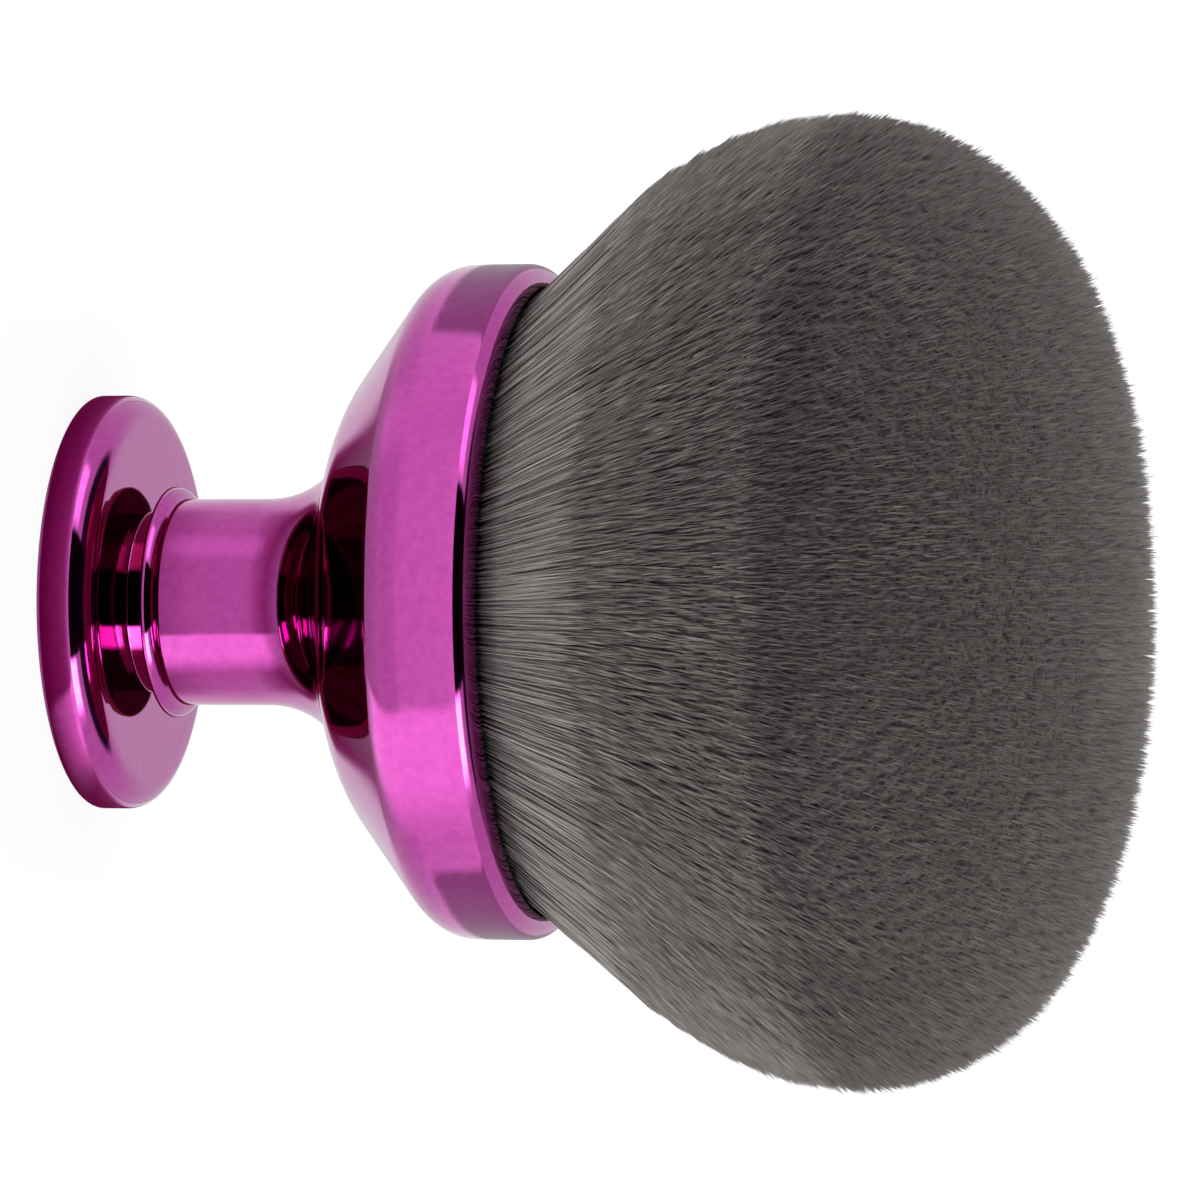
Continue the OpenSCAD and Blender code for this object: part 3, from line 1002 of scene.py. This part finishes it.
@dataclass
class Studio:
    """Pale floor, soft lamps, a plain surround and the camera of the photograph."""

    tilt: float = 13.0
    distance_mm: float = 459.8
    aim_mm: float = 43.66
    shift_mm: float = 0.17
    lens: float = 165.0
    floor_size: float = 12.0
    floor_glow: float = 0.9
    floor_shadow: float = 0.2
    floor_lift: float = 0.17
    bounce_tint: tuple[float, ...] = (1.0, 0.2, 0.35, 1.0)
    bounce_share: float = 0.3

    @staticmethod
    def window(
        tree: NodeTree, value: NodeSocket,
        bounds: tuple[float, ...], edges: tuple[float, ...],
    ) -> NodeSocket:
        """Makes a value that is one between two bounds and falls softly to zero outside them.

        Args:
            tree: The node tree.
            value: What is compared with the bounds.
            bounds: The lower and the upper bound.
            edges: Half the width of the soft edge at each.

        Returns:
            The new value.
        """
        (low, high), (soft, fade) = bounds, edges
        rise = add_node(tree, "MapRange", {
            "Value": value, "From Min": low - soft, "From Max": low + soft,
        }, interpolation_type="SMOOTHSTEP").outputs[0]
        fall = add_node(tree, "MapRange", {
            "Value": value, "From Min": high - fade, "From Max": high + fade, "To Min": 1.0, "To Max": 0.0,
        }, interpolation_type="SMOOTHSTEP").outputs[0]
        return add_node(tree, "Math", {0: rise, 1: fall}, operation="MULTIPLY").outputs[0]

    @staticmethod
    def azimuth_of(
        tree: NodeTree, x: NodeSocket, y: NodeSocket,
    ) -> NodeSocket:
        """Works out an azimuth, from the camera's side round towards +X."""
        front = add_node(tree, "Math", {0: y, 1: -1.0}, operation="MULTIPLY").outputs[0]
        return add_node(tree, "Math", {0: x, 1: front}, operation="ARCTAN2").outputs[0]

    @staticmethod
    def blend(
        tree: NodeTree, light: NodeSocket | float, level: float,
        share: NodeSocket, *more: NodeSocket,
    ) -> NodeSocket:
        """Blends a light towards a plain white of some level.

        Args:
            tree: The node tree.
            light: The light so far.
            level: The new level.
            share: How much of the new level shows.
            *more: Further shares that it is multiplied by.

        Returns:
            The blended light.
        """
        for other in more:
            share = add_node(tree, "Math", {0: share, 1: other}, operation="MULTIPLY").outputs[0]
        start = light if isinstance(light, NodeSocket) else (light, light, light, 1)
        return add_node(tree, "Mix", {
            0: share, 6: start, 7: (level, level, level, 1)}, data_type="RGBA").outputs[2]

    def floor(self) -> None:
        """Lays the white floor that fades to pure white and keeps a soft shadow."""
        bm = bmesh.new()
        bmesh.ops.create_grid(bm, x_segments=1, y_segments=1, size=self.floor_size / 2)
        mesh = bpy.data.meshes.new("floor")
        bm.to_mesh(mesh)
        bm.free()
        white = (1, 1, 1, 1)
        material, tree, output = new_material("white_paper_floor")
        paper = add_node(tree, "BsdfDiffuse", {"Color": linear("#E6E6E6")}).outputs[0]
        path = add_node(tree, "LightPath").outputs
        glow = add_node(tree, "Emission", {"Color": white, "Strength": self.floor_glow}).outputs[0]
        faded = add_node(tree, "MixShader", {0: self.floor_shadow, 1: glow, 2: paper}).outputs[0]
        lift = add_node(tree, "Emission", {"Color": white, "Strength": self.floor_lift}).outputs[0]
        lit = add_node(tree, "AddShader", {0: faded, 1: lift}).outputs[0]
        seen = add_node(tree, "MixShader", {0: path["Is Camera Ray"], 1: paper, 2: lit}).outputs[0]
        # The handle mirrors a painted floor: painted shade, painted pools of the lamps' light and a painted
        # reflection of the disc's colour
        colour, strength = self.bounced(tree, self.reflected(tree), 1.0)
        mirrored = add_node(tree, "Emission", {"Color": colour, "Strength": strength}).outputs[0]
        choice = add_node(tree, "MixShader", {0: path["Is Glossy Ray"], 1: seen, 2: mirrored})
        tree.links.new(choice.outputs[0], output.inputs["Surface"])
        show("floor", mesh, material)

    @staticmethod
    def paper_shade_and_reflection(tree: NodeTree, far: NodeSocket) -> NodeSocket:
        """Works out the painted shade and painted reflection on the paper in the polished handle, before
        the lamps' light on it.

        Args:
            tree: The floor material's nodes.
            far: Distance from the brush's axis.

        Returns:
            The painted shade and reflection.
        """
        (nearest, near_colour), (outermost, outer_colour) = PAPER_SHADE_AND_REFLECTION[0], PAPER_SHADE_AND_REFLECTION[-1]
        spread = add_node(tree, "MapRange", {"Value": far, "From Max": outermost * MM}).outputs[0]
        ramp = add_node(tree, "ValToRGB", {"Fac": spread})
        stops = ramp.color_ramp.elements
        stops[0].position = nearest / outermost
        stops[0].color = (*near_colour, 1)
        stops[1].color = (*outer_colour, 1)
        for reach, colour in PAPER_SHADE_AND_REFLECTION[1:-1]:
            stops.new(reach / outermost).color = (*colour, 1)
        # Looked at steeply the paper is a plain painted grey, darker near the foot as painted shade; only
        # along it does it carry the painted reflection of the disc's colour
        slant = add_node(tree, "LayerWeight", {"Blend": 0.5}).outputs["Facing"]
        along = add_node(tree, "MapRange", {
            "Value": slant, "From Min": 0.14, "From Max": 0.3}).outputs[0]
        steep = add_node(tree, "MapRange", {
            "Value": far, "From Min": nearest * MM, "From Max": 44 * MM,
            "To Min": 0.42, "To Max": 0.66}).outputs[0]
        return add_node(tree, "Mix", {
            0: along, 6: steep, 7: ramp.outputs["Color"]}, data_type="RGBA").outputs[2]

    def reflected(self, tree: NodeTree) -> NodeSocket:
        """Works out the painted light and shade that the handle sees on the floor: dim in shade, bright
        under the key.

        Args:
            tree: The floor material's nodes.

        Returns:
            The brightness.
        """
        place = add_node(tree, "TexCoord").outputs["Object"]
        axes = add_node(tree, "SeparateXYZ", {0: place}).outputs
        flat = add_node(tree, "CombineXYZ", {0: axes["X"], 1: axes["Y"]}).outputs[0]
        far = add_node(tree, "VectorMath", {0: flat}, operation="LENGTH").outputs["Value"]
        azimuth = self.azimuth_of(tree, axes["X"], axes["Y"])
        light = self.paper_shade_and_reflection(tree, far)
        for patch in (KEY_ON_PAPER, FILL_ON_PAPER):
            where = self.window(tree, azimuth, in_radians(patch.azimuths), in_radians(patch.edges))
            near, full = patch.rises
            away = add_node(tree, "MapRange", {
                "Value": far, "From Min": near * MM, "From Max": full * MM}).outputs[0]
            light = self.blend(tree, light, patch.level, where, away)
        # Beside and behind the disc the paper lies open to the light, and the bell's back is pale there
        aside = add_node(tree, "Math", {0: azimuth}, operation="ABSOLUTE").outputs[0]
        where = self.window(tree, aside, in_radians((112, 200)), in_radians((12, 12)))
        ring = self.window(tree, far, (24 * MM, 60 * MM), (2 * MM, 14 * MM))
        light = self.blend(tree, light, 0.74, where, ring)
        # Painted shade in the mirrored floor: behind and beside the brush, past 140 mm, it is painted dim
        # as if the table ended there, which darkens the ends of the bell's band
        where = self.window(tree, aside, in_radians((95, 168)), in_radians((3, 3)))
        end = add_node(tree, "MapRange", {
            "Value": far, "From Min": 139 * MM, "From Max": 143 * MM}).outputs[0]
        return self.blend(tree, light, 0.36, where, end)

    def bounced(
        self, tree: NodeTree, light: NodeSocket, first: float,
    ) -> tuple[NodeSocket, NodeSocket]:
        """Dims and reddens a light that comes to the eye by way of two or more mirrored surfaces.

        Args:
            tree: The node tree.
            light: The light's colour.
            first: Ray depth after one mirrored surface: one on a surface, two in the world.

        Returns:
            The colour and the strength.
        """
        depth = add_node(tree, "LightPath").outputs["Ray Depth"]
        more = add_node(tree, "Math", {
            0: depth, 1: first}, operation="SUBTRACT", use_clamp=True).outputs[0]
        colour = add_node(tree, "Mix", {
            0: more, 6: light, 7: self.bounce_tint}, data_type="RGBA", blend_type="MULTIPLY").outputs[2]
        steps = add_node(tree, "Math", {0: depth, 1: first}, operation="SUBTRACT").outputs[0]
        strength = add_node(tree, "Math", {
            0: self.bounce_share, 1: steps}, operation="POWER").outputs[0]
        return colour, strength

    def surround(self) -> None:
        """Paints what lies round the brush: white to the eye, and the studio in its reflections."""
        world = bpy.data.worlds.new("studio")
        bpy.context.scene.world = world
        world.use_nodes = True
        tree = world.node_tree
        tree.nodes.clear()
        way = add_node(tree, "TexCoord").outputs["Generated"]
        axes = add_node(tree, "SeparateXYZ", {0: way}).outputs
        azimuth, up = self.azimuth_of(tree, axes["X"], axes["Y"]), axes["Z"]
        dull = self.painted(tree, azimuth, up, DULL_SKY)
        colour, strength = self.bounced(tree, self.painted(tree, azimuth, up, MIRRORED_SKY), 2.0)
        faded = add_node(tree, "VectorMath", {
            0: colour, "Scale": strength}, operation="SCALE").outputs[0]
        lamp = self.painted(tree, azimuth, up, (KEY_WINDOW,), 0.0)
        glossy = add_node(tree, "VectorMath", {0: faded, 1: lamp}, operation="ADD").outputs[0]
        path = add_node(tree, "LightPath").outputs
        light = add_node(tree, "Mix", {
            0: path["Is Glossy Ray"], 6: dull, 7: glossy}, data_type="RGBA").outputs[2]
        seen = self.blend(tree, light, 1.0, path["Is Camera Ray"])
        back = add_node(tree, "Background", {"Color": seen, "Strength": 1.0})
        tree.links.new(back.outputs[0], add_node(tree, "OutputWorld").inputs["Surface"])

    def painted(
        self, tree: NodeTree, azimuth: NodeSocket, up: NodeSocket,
        patches: tuple[SkyPatch, ...], base: float = 0.62,
    ) -> NodeSocket:
        """Paints soft-edged patches of light on the sky, each over the ones before it.

        Args:
            tree: The world's nodes.
            azimuth: Azimuth of the direction looked in.
            up: Sine of its elevation.
            patches: The patches.
            base: Strength outside the patches.

        Returns:
            The light's colour.
        """
        light: NodeSocket | float = base
        for patch in patches:
            across = self.window(tree, azimuth, in_radians(patch.azimuths), in_radians(patch.edges))
            high = self.window(tree, up, patch.heights, (patch.blur, patch.blur))
            light = self.blend(tree, light, patch.level, across, high)
        return light

    def camera(self) -> None:
        """Sets the camera where the photograph's was, turned so that the head lies at the right."""
        tilt = math.radians(self.tilt)
        right = Vector((0, math.sin(tilt), math.cos(tilt)))
        up = Vector((-1, 0, 0))
        back = Vector((0, -math.cos(tilt), math.sin(tilt)))
        place = Vector((0, 0, self.aim_mm * MM)) + back * self.distance_mm * MM + up * self.shift_mm * MM
        data = bpy.data.cameras.new("camera")
        data.sensor_width, data.lens = 36, self.lens
        data.clip_start, data.clip_end = 0.01, 50
        made = bpy.data.objects.new("camera", data)
        bpy.context.scene.collection.objects.link(made)
        made.matrix_world = Matrix.Translation(place) @ Matrix((right, up, back)).transposed().to_4x4()
        bpy.context.scene.camera = made

    def build(self) -> None:
        """Builds the floor, the surround, the lamps and the camera."""
        self.camera()
        self.floor()
        self.surround()
        target = Vector((0, 0, 45 * MM))
        for lamp in LAMPS:
            lamp.place(target)
        bpy.context.scene.view_settings.view_transform = "Standard"


def main() -> None:
    """Builds the studio and every piece of the brush, in order."""
    logging.basicConfig(level=logging.INFO, format="%(name)s: %(message)s")
    Studio().build()
    plated = MetallisedLacquer().material()
    for part in (PalmDisc(), Stem(), Bell()):
        part.build(plated)
    dress_inner_parts()
    FibreHead().build()


if __name__ == "__main__":
    main()
